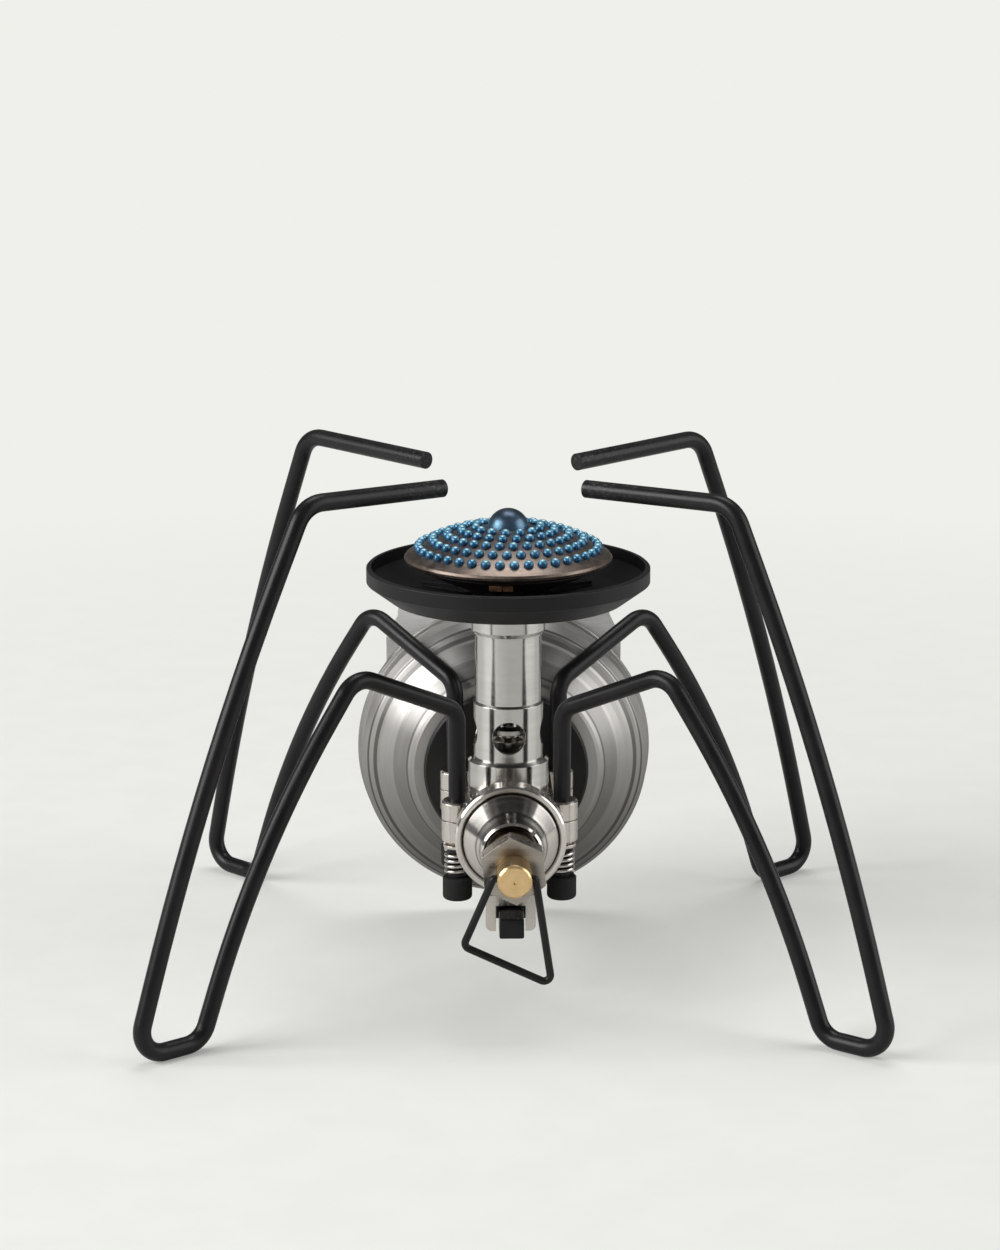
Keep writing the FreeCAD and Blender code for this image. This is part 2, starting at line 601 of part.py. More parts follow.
def seat_holes():
    return [rod_y(1.25, 10, 30, x, z) for x, z in seat_screw_places()]


def seat_screw_places():
    ring = 15.4
    return [(ring * math.cos(math.radians(a)), CUP_Z + ring * math.sin(math.radians(a))) for a in (90, 205, 335)]


def can_seat():
    """Black plate that locates the can, with a key for the notch in the can's collar behind the dish."""
    plate = along_y([(INLET_RADIUS, SEAT_FRONT), (SEAT_RADIUS - 0.5, SEAT_FRONT),
                     (SEAT_RADIUS, SEAT_FRONT + 0.5), (SEAT_RADIUS, SEAT_BACK), (INLET_RADIUS, SEAT_BACK)], CUP_Z)
    return plate.cut(seat_holes())


def can_key():
    """Locating ring behind the dish with the key that fits the notch of the can."""
    back = SEAT_BACK + CUP_SKIN
    ring = along_y([(INLET_RADIUS, back), (18.5, back), (18.5, back + 2.2), (INLET_RADIUS + 6.0, back + 2.2),
                    (INLET_RADIUS + 5.4, back + 1.2), (INLET_RADIUS, back + 1.2)], CUP_Z)
    key = block(-2.4, 2.4, back + 2.2, back + 4.6, CUP_Z + 13.0, CUP_Z + 17.6)
    return join([ring, key]).cut(seat_holes())


def seat_screws():
    back = SEAT_BACK + CUP_SKIN + 1.6
    return Part.makeCompound([rod_y(1.25, SEAT_FRONT, back, x, z) for x, z in seat_screw_places()])


def inlet_nipple():
    """Pin that opens the can's valve, with a shoulder behind the seal."""
    profile = [(0.7, SEAT_FRONT - 0.2), (INLET_RADIUS, SEAT_FRONT - 0.2), (INLET_RADIUS, 19.4), (4.6, 20.0),
               (4.6, 21.6), (1.9, 21.6), (1.9, 23.2), (1.6, 23.2), (1.6, 27.2), (1.1, 28.0), (0.7, 28.0)]
    return along_y(profile, CUP_Z)


def inlet_seal():
    return along_y([(1.9, 21.6), (4.0, 21.6), (4.0, 22.9), (3.6, 23.2), (1.9, 23.2)], CUP_Z)


def heat_shield():
    """Flat plate between burner and can: a crescent over the rim of the cup."""
    corner = SHIELD_TOP - SHIELD_CORNER
    y0 = CUP_BACK
    y1 = CUP_BACK + SHIELD_SKIN
    lower = block(-SHIELD_HALF, SHIELD_HALF, y0, y1, CUP_Z, SHIELD_STEP_LOW)
    upper = block(-SHIELD_TOP_HALF, SHIELD_TOP_HALF, y0, y1, CUP_Z, corner)
    crown = block(-SHIELD_TOP_HALF + SHIELD_CORNER, SHIELD_TOP_HALF - SHIELD_CORNER, y0, y1, CUP_Z, SHIELD_TOP)
    rounds = [rod_y(SHIELD_CORNER, y0, y1, side * (SHIELD_TOP_HALF - SHIELD_CORNER), corner) for side in (-1, 1)]
    slope = [Vector(SHIELD_HALF, y0, SHIELD_STEP_LOW), Vector(SHIELD_TOP_HALF, y0, SHIELD_STEP_HIGH),
             Vector(-SHIELD_TOP_HALF, y0, SHIELD_STEP_HIGH), Vector(-SHIELD_HALF, y0, SHIELD_STEP_LOW)]
    taper = Part.Face(Part.makePolygon(slope + slope[:1])).extrude(Vector(0, SHIELD_SKIN, 0))
    plate = join([lower, upper, crown, taper] + rounds)
    plate = plate.cut(rod_y(SOCKET_RADIUS + 0.5, y0 - 1, y1 + 1, 0, CUP_Z))
    plate = plate.common(block(-60, 60, y0, y1, 58.0, 100))
    return plate.cut([rod_y(0.8, y0 - 1, y1 + 1, x, z) for x, z in rivet_places()])


def rivet_places():
    ring = SOCKET_RADIUS + 1.35
    return [(ring * math.cos(math.radians(a)), CUP_Z + ring * math.sin(math.radians(a))) for a in (48, 90, 132)]


def rivets():
    """Shield rivets with low heads, and the flush rivets of the fork plate."""
    rivets = [rod_z(0.9, IGNITER_HIGH, FORK_HIGH, 0, y) for y in FORK_RIVETS_Y]
    for x, z in rivet_places():
        shank = rod_y(0.8, CUP_BACK, CUP_BACK + SHIELD_SKIN, x, z)
        head = rod_y(1.3, CUP_BACK + SHIELD_SKIN, CUP_BACK + SHIELD_SKIN + 0.6, x, z)
        rivets.append(join([shank, head]))
    return Part.makeCompound(rivets)


# ------------------------------------------------------------------ igniter

def fork_bracket():
    """Bent plate: a fork in front of the igniter and a tongue back to the lug of the valve body."""
    fork = block(-FORK_HALF, FORK_HALF, FORK_FRONT, FORK_BACK, FORK_LOW, FORK_HIGH)
    corners = [e for e in fork.Edges if abs(e.BoundBox.ZMax - FORK_LOW) < 1e-4 and e.BoundBox.YLength > 0.5]
    fork = fork.makeFillet(1.4, corners)
    slot = block(-SLOT_HALF, SLOT_HALF, FORK_FRONT - 1, FORK_BACK + 1, FORK_LOW - 1, SLOT_TOP)
    tongue = block(-FORK_HALF + 0.9, FORK_HALF - 0.9, FORK_BACK - 0.6, -1.0, IGNITER_HIGH, FORK_HIGH)
    plate = join([fork.cut(slot), tongue])
    return plate.cut([rod_z(0.9, 20, 30, 0, y) for y in FORK_RIVETS_Y])


def igniter_body():
    """Igniter case with a square way for the plunger."""
    case = block(-IGNITER_HALF, IGNITER_HALF, IGNITER_FRONT, IGNITER_BACK, IGNITER_LOW, IGNITER_HIGH)
    long_edges = [e for e in case.Edges if e.BoundBox.YLength > 20]
    case = case.makeFillet(0.8, long_edges)
    way = block(-PLUNGER_HALF - SLIDE_FIT, PLUNGER_HALF + SLIDE_FIT, IGNITER_FRONT - 1, -2.0,
                PLUNGER_LOW - SLIDE_FIT, PLUNGER_HIGH + SLIDE_FIT)
    crystal = rod_y(1.5, -1.0, 7.0, 0, 20.2)
    return case.cut([way, crystal])


def piezo_element():
    return rod_y(1.5, -1.0, 7.0, 0, 20.2)


def igniter_button():
    """Push button: a block in front of the fork, and its plunger back into the case."""
    middle = (PLUNGER_LOW + PLUNGER_HIGH) / 2
    head = block(-BUTTON_HALF, BUTTON_HALF, BUTTON_FRONT, BUTTON_BACK, BUTTON_LOW, BUTTON_HIGH)
    front = face_rims(head, BUTTON_FRONT)
    head = head.makeFillet(0.45, front + [e for e in head.Edges if e.BoundBox.YLength > 3])
    plunger = block(-PLUNGER_HALF, PLUNGER_HALF, BUTTON_BACK - 1, -13.0, PLUNGER_LOW, PLUNGER_HIGH)
    rod = rod_y(0.45, -14.0, -8.0, 0, middle)
    return join([head, plunger, rod])


def igniter_spring():
    middle = (PLUNGER_LOW + PLUNGER_HIGH) / 2
    return coil(0.74, 0.3, 6.0, 7, Vector(0, -12.9, middle), Y_AXIS)


# ------------------------------------------------------------------ all parts

os.makedirs("parts", exist_ok=True)
make_legs()
BLANK = valve_blank()
for make in (valve_body, leg_bracket, bracket_screws, base_collar):
    export(make(BLANK), make.__name__)
for make in (air_sleeve, mixing_tube, tube_collar, gas_jet, drip_pan, burner_head, flame_ports,
             burner_knob, burner_cup, burner_core, electrode, electrode_insulator, regulator_ring,
             regulator_cap, diaphragm, diaphragm_plate, regulator_spring, spring_follower, gland, gland_nut,
             stem_seal, valve_stem, control_handle, can_cup, can_seat, can_key, seat_screws, inlet_nipple,
             inlet_seal, heat_shield, rivets, fork_bracket, igniter_body, piezo_element, igniter_button,
             igniter_spring):
    export(make(), make.__name__)
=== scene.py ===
import json
import math

import bpy
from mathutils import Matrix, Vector


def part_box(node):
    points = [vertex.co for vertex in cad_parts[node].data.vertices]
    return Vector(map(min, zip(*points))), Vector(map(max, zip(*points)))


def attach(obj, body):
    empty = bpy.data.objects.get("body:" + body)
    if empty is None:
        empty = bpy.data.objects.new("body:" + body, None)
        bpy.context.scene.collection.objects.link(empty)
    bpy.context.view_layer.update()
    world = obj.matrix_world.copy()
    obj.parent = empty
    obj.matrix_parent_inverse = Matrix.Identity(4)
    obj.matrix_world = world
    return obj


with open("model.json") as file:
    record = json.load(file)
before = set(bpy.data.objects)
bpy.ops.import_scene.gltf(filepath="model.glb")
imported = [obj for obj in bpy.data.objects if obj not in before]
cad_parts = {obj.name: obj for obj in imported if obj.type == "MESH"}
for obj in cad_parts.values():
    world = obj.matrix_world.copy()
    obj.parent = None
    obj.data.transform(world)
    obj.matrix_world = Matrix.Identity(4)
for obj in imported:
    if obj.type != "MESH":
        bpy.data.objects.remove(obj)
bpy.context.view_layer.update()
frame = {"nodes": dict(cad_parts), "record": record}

# A camping stove on four wire legs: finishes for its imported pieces, two small added plates, floor,
# lights and camera. Lengths are in metres unless a comment says mm. The burner's axis is the Z axis.

NODES = frame["nodes"]
MM = 0.001
QUARTER_TURN = 0.25


def middle(node):
    """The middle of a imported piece's box."""
    low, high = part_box(node)
    return (low + high) / 2


BURNER_AXIS = Vector((0, 0, 0))
VALVE_AXIS = middle("regulator_ring")
CUP_AXIS = middle("can_seat")
CAP_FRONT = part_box("regulator_cap")[0].y
HEAD_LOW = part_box("burner_head")[0].z
DOME_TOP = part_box("burner_head")[1].z
CUP_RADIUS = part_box("burner_cup")[1].x
ARM_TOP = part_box("leg_front_left")[1].z
STOVE_MIDDLE = (0, 0, 0.05)

# Painted shade: dark rings in the grooves and steps of turned metal. Columns: radius in mm, half width in
# mm, strength.
REGULATOR_RING_SHADES = ((11.0, 0.07, 0.9), (8.05, 0.08, 0.6), (7.2, 0.08, 0.5))
CUP_RING_SHADES = ((33.0, 0.12, 0.75), (31.3, 0.35, 0.7), (25.3, 1.5, 0.3), (23.6, 0.1, 0.6))
RING_PAINTED_SHADE = (0.03, 0.03, 0.028)
UNDERSIDE_PAINTED_SHADE = (0.05, 0.05, 0.047)
UNDERSIDE_SHADE_SPAN = (-30 * MM, 6 * MM)     # heights, counted from the axis, over which painted shade darkens the metal
RECESS_PAINTED_SHADOW = (0.01, 0.008, 0.006)


# ---------------------------------------------------------------- node building

class Finish:
    """One material, with short calls that grow its node tree."""

    def __init__(self, name):
        self.material = bpy.data.materials.new(name)
        self.material.use_nodes = True
        self.tree = self.material.node_tree
        self.shader = self.tree.nodes["Principled BSDF"]
        self.coordinates = self.add("ShaderNodeTexCoord")
        self.place = self.coordinates.outputs["Object"]

    def add(self, kind, **settings):
        node = self.tree.nodes.new(kind)
        for key, value in settings.items():
            setattr(node, key, value)
        return node

    def feed(self, socket, value):
        """Link an output into the socket, or set a plain value on it."""
        if isinstance(value, bpy.types.NodeSocket):
            self.tree.links.new(value, socket)
        else:
            socket.default_value = value

    def calc(self, operation, a, b=0.0):
        node = self.add("ShaderNodeMath", operation=operation)
        self.feed(node.inputs[0], a)
        self.feed(node.inputs[1], b)
        return node.outputs[0]

    def split(self, vector):
        node = self.add("ShaderNodeSeparateXYZ")
        self.feed(node.inputs[0], vector)
        return node.outputs

    def combine(self, x, y, z):
        node = self.add("ShaderNodeCombineXYZ")
        for socket, value in zip(node.inputs, (x, y, z)):
            self.feed(socket, value)
        return node.outputs[0]

    def noise(self, at, scale, detail=2.0, roughness=0.5):
        """Noise between 0 and 1, with scale lumps to the metre."""
        node = self.add("ShaderNodeTexNoise")
        self.feed(node.inputs["Vector"], at)
        node.inputs["Scale"].default_value = scale
        node.inputs["Detail"].default_value = detail
        node.inputs["Roughness"].default_value = roughness
        return node.outputs["Fac"]

    def remap(self, value, low, high, to_low, to_high):
        """Carry the range low to high over to another, and hold still outside it."""
        node = self.add("ShaderNodeMapRange", clamp=True)
        self.feed(node.inputs["Value"], value)
        names = ("From Min", "From Max", "To Min", "To Max")
        for name, number in zip(names, (low, high, to_low, to_high)):
            node.inputs[name].default_value = number
        return node.outputs["Result"]

    def vary(self, noise, low, high):
        """Spread a noise over low to high: nearly all of it lies between 0.3 and 0.7."""
        return self.remap(noise, 0.3, 0.7, low, high)

    def mix(self, share, a, b):
        """Mix two colours, each an output or three numbers."""
        node = self.add("ShaderNodeMix", data_type="RGBA")
        self.feed(node.inputs["Factor"], share)
        for socket, colour in zip((node.inputs[6], node.inputs[7]), (a, b)):
            self.feed(socket, colour if isinstance(colour, bpy.types.NodeSocket) else (*colour, 1.0))
        return node.outputs[2]

    def soft_normal(self, radius):
        """The normal as if every edge were rounded by this radius."""
        node = self.add("ShaderNodeBevel", samples=4)
        node.inputs["Radius"].default_value = radius
        return node.outputs["Normal"]

    def edges(self, radius):
        """1 on edges, falling to 0 away from them."""
        node = self.add("ShaderNodeVectorMath", operation="DOT_PRODUCT")
        self.feed(node.inputs[0], self.soft_normal(radius))
        self.feed(node.inputs[1], self.add("ShaderNodeNewGeometry").outputs["Normal"])
        return self.remap(node.outputs["Value"], 0.75, 0.995, 1.0, 0.0)

    def bump(self, height, strength, distance, normal=None):
        """The normal of a surface raised by up to distance where height is 1."""
        node = self.add("ShaderNodeBump")
        node.inputs["Strength"].default_value = strength
        node.inputs["Distance"].default_value = distance
        self.feed(node.inputs["Height"], height)
        if normal is not None:
            self.feed(node.inputs["Normal"], normal)
        return node.outputs["Normal"]

    def polar(self, axis, centre):
        """Radius, angle and distance along the axis, as outputs."""
        x, y, z = self.split(self.place)
        if axis == "Z":
            across, up, along = self.calc("SUBTRACT", x, centre.x), self.calc("SUBTRACT", y, centre.y), z
        else:
            across, up, along = self.calc("SUBTRACT", x, centre.x), self.calc("SUBTRACT", z, centre.z), y
        squares = self.calc("ADD", self.calc("MULTIPLY", across, across), self.calc("MULTIPLY", up, up))
        return self.calc("SQRT", squares), self.calc("ARCTAN2", up, across), along

    def turning_marks(self, axis, centre, spread=0.5):
        """A vector that changes fast across turning marks and slowly round them."""
        radius, angle, along = self.polar(axis, centre)
        return self.combine(radius, self.calc("MULTIPLY", angle, spread * MM), along)

    def brush_marks(self, along):
        """A vector that changes fast across brush marks that run along the named axis."""
        slow = 0.04
        parts = [self.calc("MULTIPLY", part, slow) if name == along else part
                 for name, part in zip("XYZ", self.split(self.place))]
        return self.combine(*parts)

    def ring(self, radius, at, half, soft=0.2):
        """1 within half of the radius at, falling to 0 over soft more; all in mm."""
        away = self.calc("ABSOLUTE", self.calc("SUBTRACT", radius, at * MM))
        return self.remap(away, half * MM, (half + soft) * MM, 1.0, 0.0)

    def finish(self, colour, roughness, normal):
        """Wire up the shader and give the finished material."""
        self.feed(self.shader.inputs["Base Color"], colour)
        self.feed(self.shader.inputs["Roughness"], roughness)
        self.feed(self.shader.inputs["Normal"], normal)
        return self.material


# ---------------------------------------------------------------- materials

def worked_metal(name, marks, light, dark, rough=(0.2, 0.34), grain=0.35, edge=0.14, tangent=None,
                 directional=0.0, depth=0.012, centre=None, shades=(), low_shade=0.0, edge_gain=1.15,
                 deep=None):
    """Bare metal with fine tool marks, faint handling smudges, and rounded edges with a painted highlight
    along them.

    marks takes the Finish and gives the vector of its tool marks. grain is the strength of their relief and
    depth its height in mm; edge is the rounding of edges in mm. directional stretches the highlights of
    turned metal into fans about the tangent axis. shades are painted shade, dark rings round the
    front-to-back axis at centre, and low_shade is how much painted shade darkens the metal below that axis.
    edge_gain is how much brighter the painted highlight on the edges is. deep is two places front to back
    between which painted shadow darkens the metal.
    """
    f = Finish(name)
    lines = marks(f)
    fine = f.noise(lines, 5200, 2.0, 0.6)
    coarse = f.noise(lines, 900, 3.0, 0.55)
    smudge = f.noise(f.place, 70, 4.0, 0.6)
    tone = f.calc("ADD", f.calc("MULTIPLY", fine, 0.35), f.calc("MULTIPLY", coarse, 0.65))
    colour = f.mix(f.remap(tone, 0.32, 0.68, 0.0, 1.0), dark, light)
    colour = f.mix(f.remap(smudge, 0.5, 0.75, 0.0, 0.25), colour, dark)
    # painted highlight along the rounded edges
    rim = f.edges(edge * MM)
    bright = tuple(min(1.0, c * edge_gain) for c in light)
    colour = f.mix(f.calc("MULTIPLY", rim, 0.6), colour, bright)
    if centre is not None:
        radius = f.polar("Y", centre)[0]
        # painted shade: a dark ring in each groove and step
        for at, half, share in shades:
            colour = f.mix(f.calc("MULTIPLY", f.ring(radius, at, half), share), colour, RING_PAINTED_SHADE)
        # painted shade: the metal darker towards the bottom, below the axis
        height = f.split(f.place)[2]
        start, end = (centre.z + level for level in UNDERSIDE_SHADE_SPAN)
        low = f.remap(height, start, end, low_shade, 0.0)
        colour = f.mix(low, colour, UNDERSIDE_PAINTED_SHADE)
    # painted shadow between two places front to back
    if deep is not None:
        colour = f.mix(f.remap(f.split(f.place)[1], *deep, 0.0, 0.95), colour, RECESS_PAINTED_SHADOW)
    spread = f.calc("ADD", f.calc("MULTIPLY", coarse, 0.5), f.calc("MULTIPLY", smudge, 0.5))
    roughness = f.remap(spread, 0.35, 0.65, rough[0], rough[1])
    normal = f.bump(fine, grain, depth * MM, f.soft_normal(edge * MM))
    f.shader.inputs["Metallic"].default_value = 1.0
    if directional:
        f.shader.inputs["Anisotropic"].default_value = directional
        f.shader.inputs["Anisotropic Rotation"].default_value = QUARTER_TURN
        around = f.add("ShaderNodeTangent", direction_type="RADIAL", axis=tangent)
        f.feed(f.shader.inputs["Tangent"], around.outputs[0])
    return f.finish(colour, roughness, normal)


def turned_column():
    return worked_metal("turned_aluminium", lambda f: f.turning_marks("Z", BURNER_AXIS),
                        light=(0.66, 0.645, 0.615), dark=(0.54, 0.53, 0.505), rough=(0.18, 0.26),
                        grain=0.25, tangent="Z", directional=0.8)


def turned_regulator():
    return worked_metal("turned_steel", lambda f: f.turning_marks("Y", VALVE_AXIS),
                        light=(0.8, 0.76, 0.71), dark=(0.64, 0.61, 0.57), rough=(0.17, 0.24), grain=0.2,
                        tangent="Y", directional=0.9, centre=VALVE_AXIS, shades=REGULATOR_RING_SHADES)


# The spun cup carries painted shade: dark rings in its grooves and steps, and a darker lower part.
def spun_cup():
    return worked_metal("spun_steel", lambda f: f.turning_marks("Y", CUP_AXIS, 0.25),
                        light=(0.47, 0.455, 0.435), dark=(0.38, 0.37, 0.355), rough=(0.38, 0.45),
                        grain=0.3, tangent="Y", directional=0.5, centre=CUP_AXIS, shades=CUP_RING_SHADES,
                        low_shade=0.6)


def brushed_shield():
    """Pale, finely brushed sheet, too matt to mirror the dark of the room."""
    f = Finish("brushed_shield")
    fine = f.noise(f.brush_marks("X"), 4200, 2.0, 0.6)
    smudge = f.noise(f.place, 60, 4.0, 0.6)
    colour = f.mix(f.remap(fine, 0.35, 0.65, 0.0, 1.0), (0.74, 0.74, 0.725), (0.86, 0.86, 0.845))
    colour = f.mix(f.remap(smudge, 0.5, 0.75, 0.0, 0.2), colour, (0.64, 0.64, 0.63))
    f.shader.inputs["Metallic"].default_value = 0.15
    return f.finish(colour, f.vary(smudge, 0.42, 0.55),
                    f.bump(fine, 0.3, 0.01 * MM, f.soft_normal(0.14 * MM)))


def plated():
    return worked_metal("nickel_plate", lambda f: f.brush_marks("Z"),
                        light=(0.7, 0.655, 0.6), dark=(0.55, 0.515, 0.47), rough=(0.17, 0.3), grain=0.3,
                        edge=0.2)


def bright_spring():
    return worked_metal("spring_wire", lambda f: f.place,
                        light=(0.74, 0.71, 0.67), dark=(0.5, 0.47, 0.44), rough=(0.16, 0.3), grain=0.1,
                        edge=0.05)


def turned_brass():
    return worked_metal("turned_brass", lambda f: f.turning_marks("Y", VALVE_AXIS),
                        light=(0.87, 0.62, 0.33), dark=(0.7, 0.48, 0.22), rough=(0.22, 0.38), grain=0.5,
                        tangent="Y", directional=0.35, edge=0.25)


def bronze_gland():
    """Aged brass, with a painted shadow where it enters the regulator."""
    return worked_metal("aged_brass", lambda f: f.turning_marks("Y", VALVE_AXIS),
                        light=(0.72, 0.5, 0.3), dark=(0.42, 0.28, 0.17), rough=(0.24, 0.4), grain=0.5,
                        deep=(CAP_FRONT - 2.2 * MM, CAP_FRONT - 0.8 * MM))


# The nut's edges carry a strong painted highlight.
def milled_nut():
    return worked_metal("milled_nut", lambda f: f.brush_marks("X"),
                        light=(0.45, 0.41, 0.36), dark=(0.31, 0.28, 0.245), rough=(0.2, 0.32), grain=0.35,
                        edge=0.12, edge_gain=2.2)


def smoked_steel():
    return worked_metal("smoked_steel", lambda f: f.turning_marks("Z", BURNER_AXIS),
                        light=(0.5, 0.48, 0.45), dark=(0.32, 0.31, 0.29), rough=(0.22, 0.34), grain=0.3)


def heated_dome():
    """Steel gone brown from the flame, greyer and bluer towards the crown."""
    f = Finish("heated_steel")
    radius = f.polar("Z", BURNER_AXIS)[0]
    lines = f.turning_marks("Z", BURNER_AXIS, 2.0)
    fine = f.noise(lines, 4200, 2.0, 0.6)
    blotch = f.noise(f.place, 260, 4.0, 0.65)
    bronze = f.mix(f.vary(blotch, 0.0, 1.0), (0.15, 0.118, 0.1), (0.27, 0.215, 0.18))
    crown = f.mix(f.remap(blotch, 0.35, 0.65, 0.0, 1.0), (0.12, 0.115, 0.13), (0.24, 0.2, 0.19))
    share = f.remap(radius, 0.006, 0.021, 1.0, 0.0)
    colour = f.mix(share, bronze, crown)
    colour = f.mix(f.remap(fine, 0.45, 0.75, 0.0, 0.35), colour, (0.4, 0.33, 0.28))
    soot = f.remap(f.noise(f.place, 900, 3.0, 0.6), 0.55, 0.75, 0.0, 0.5)
    colour = f.mix(soot, colour, (0.07, 0.06, 0.055))
    roughness = f.vary(blotch, 0.3, 0.46)
    f.shader.inputs["Metallic"].default_value = 1.0
    return f.finish(colour, roughness, f.bump(fine, 0.4, 0.012 * MM, f.soft_normal(0.15 * MM)))


def blued_ports():
    """Ports tempered blue, with painted light: paler where they face up and nearly navy down their sides.
    """
    f = Finish("blued_steel")
    up = f.split(f.coordinates.outputs["Normal"])[2]
    patch = f.noise(f.place, 420, 3.0, 0.6)
    # painted light from above: the colour follows how far each face turns up, with a painted highlight on
    # the tops
    top_light = f.calc("ADD", up, f.vary(patch, -0.14, 0.14))
    colour = f.mix(f.remap(top_light, 0.25, 0.8, 0.0, 1.0), (0.025, 0.1, 0.2), (0.12, 0.37, 0.55))
    colour = f.mix(f.remap(top_light, 0.72, 1.0, 0.0, 1.0), colour, (0.5, 0.76, 0.85))
    speck = f.remap(f.noise(f.place, 2600, 2.0, 0.6), 0.6, 0.8, 0.0, 0.5)
    colour = f.mix(speck, colour, (0.03, 0.07, 0.12))
    f.shader.inputs["Metallic"].default_value = 0.55
    grain = f.noise(f.place, 3800, 2.0, 0.6)
    return f.finish(colour, f.vary(patch, 0.26, 0.42), f.bump(grain, 0.3, 0.02 * MM))


def blued_knob():
    """The dark knob in the middle of the burner, bluer towards its foot."""
    f = Finish("blued_knob")
    lines = f.turning_marks("Z", BURNER_AXIS, 1.0)
    fine = f.noise(lines, 3600, 2.0, 0.6)
    patch = f.noise(f.place, 240, 4.0, 0.6)
    colour = f.mix(f.vary(patch, 0.0, 1.0), (0.035, 0.05, 0.08), (0.09, 0.12, 0.17))
    height = f.split(f.place)[2]
    foot = f.remap(height, DOME_TOP + 0.5 * MM, DOME_TOP + 3.5 * MM, 0.5, 0.0)
    colour = f.mix(foot, colour, (0.1, 0.24, 0.34))
    f.shader.inputs["Metallic"].default_value = 0.8
    return f.finish(colour, f.vary(fine, 0.26, 0.4), f.bump(fine, 0.3, 0.012 * MM))


def copper_core():
    """Copper with darker patches from the heat."""
    f = Finish("copper_core")
    patch = f.noise(f.place, 500, 4.0, 0.65)
    colour = f.mix(f.remap(patch, 0.35, 0.65, 0.0, 1.0), (0.45, 0.22, 0.12), (0.95, 0.55, 0.32))
    f.shader.inputs["Metallic"].default_value = 1.0
    return f.finish(colour, f.vary(patch, 0.28, 0.5), f.bump(patch, 0.4, 0.03 * MM))


def coated(name, colour, rough, grain_scale=2400, grain_depth=0.02, worn=None, edge=0.2, sheen_edge=0.35,
           gloss=0.25):
    """A coating, paint or moulding: fine texture, uneven gloss, and a painted highlight along its edges.

    grain_depth and edge, the rounding of edges, are in mm. sheen_edge is how strongly the painted highlight
    along the edges shows, and gloss is the specular level. worn takes the Finish and gives a mask of where
    the coating is rubbed down to bare metal.
    """
    f = Finish(name)
    grain = f.noise(f.place, grain_scale, 2.0, 0.55)
    patch = f.noise(f.place, 110, 4.0, 0.6)
    darker = tuple(c * 0.72 for c in colour)
    paler = tuple(c * 1.35 for c in colour)
    shade = f.mix(f.vary(patch, 0.0, 1.0), darker, paler)
    shade = f.mix(f.remap(grain, 0.6, 0.8, 0.0, 0.5), shade, tuple(c * 2.2 for c in colour))
    # painted highlight along the edges
    rim = f.edges(edge * MM)
    shade = f.mix(f.calc("MULTIPLY", rim, sheen_edge), shade, tuple(c * 4 + 0.02 for c in colour))
    roughness = f.vary(patch, rough[0], rough[1])
    if worn is not None:
        mask = worn(f)
        shade = f.mix(mask, shade, (0.2, 0.195, 0.185))
        f.feed(f.shader.inputs["Metallic"], f.calc("MULTIPLY", mask, 0.7))
    f.shader.inputs["Specular IOR Level"].default_value = gloss
    return f.finish(shade, roughness, f.bump(grain, 0.35, grain_depth * MM, f.soft_normal(edge * MM)))


def arm_wear(f):
    """Where pots rub: the top of the arms, most near their tips."""
    x, y, height = f.split(f.place)
    radius = f.polar("Z", BURNER_AXIS)[0]
    high = f.remap(height, ARM_TOP - 5.5 * MM, ARM_TOP - 1.5 * MM, 0.0, 1.0)
    near = f.remap(radius, 0.022, 0.04, 0.5, 0.06)
    streaks = f.noise(f.combine(f.calc("MULTIPLY", x, 0.4), y, height), 1700, 4.0, 0.7)
    scuffs = f.remap(streaks, 0.53, 0.66, 0.0, 1.0)
    return f.calc("MULTIPLY", f.calc("MULTIPLY", high, near), scuffs)


def black_wire():
    return coated("black_wire", colour=(0.008, 0.008, 0.0083), rough=(0.3, 0.4), grain_depth=0.018,
                  worn=arm_wear)


def handle_wire():
    return coated("handle_wire", colour=(0.011, 0.0108, 0.0105), rough=(0.26, 0.38), grain_depth=0.01)


def rubber():
    return coated("black_rubber", colour=(0.017, 0.0175, 0.017), rough=(0.62, 0.8), grain_scale=1700,
                  grain_depth=0.05, gloss=0.15)


# The pan's rim carries a strong painted highlight.
def pan_enamel():
    return coated("black_pan", colour=(0.0045, 0.0047, 0.005), rough=(0.42, 0.54), grain_scale=1500,
                  grain_depth=0.03, sheen_edge=2.6, gloss=0.3)


def black_seat():
    return coated("seat_plastic", colour=(0.012, 0.012, 0.0115), rough=(0.42, 0.55), grain_scale=1900)


def gloss_black():
    return coated("gloss_plastic", colour=(0.006, 0.006, 0.0068), rough=(0.14, 0.2), grain_scale=5000,
                  grain_depth=0.002, edge=0.12, sheen_edge=0.1)


def dark_steel():
    return coated("dark_steel", colour=(0.035, 0.031, 0.028), rough=(0.38, 0.55), grain_scale=1500,
                  grain_depth=0.03)


def ceramic():
    return coated("ceramic", colour=(0.62, 0.6, 0.55), rough=(0.18, 0.3), grain_scale=900,
                  grain_depth=0.01, sheen_edge=0.1)


SLOT_FINISH = {
    "black_wire": black_wire(), "nickel_plate": plated(), "brushed_steel": spun_cup(),
    "turned_aluminium": turned_column(), "spring_steel": bright_spring(), "black_rubber": rubber(),
    "black_pan": pan_enamel(), "heated_steel": heated_dome(), "port_steel": blued_ports(),
    "knob_steel": blued_knob(), "dark_steel": dark_steel(), "copper_tint": copper_core(),
    "brass": turned_brass(), "black_plastic": gloss_black(), "seat_plastic": black_seat(),
    "ceramic": ceramic(),
}
TURNED = turned_regulator()
OWN_FINISH = {
    "heat_shield": brushed_shield(), "gland": bronze_gland(), "control_handle": handle_wire(),
    "gas_jet": smoked_steel(), "gland_nut": milled_nut(), "regulator_ring": TURNED, "regulator_cap": TURNED,
}

for part in frame["record"]["subparts"]:
    node = part["node"]
    finish = OWN_FINISH.get(node, SLOT_FINISH[part["material_slot"]])
    mesh = NODES[node].data
    mesh.materials.clear()
    mesh.materials.append(finish)


# ---------------------------------------------------------------- added pieces

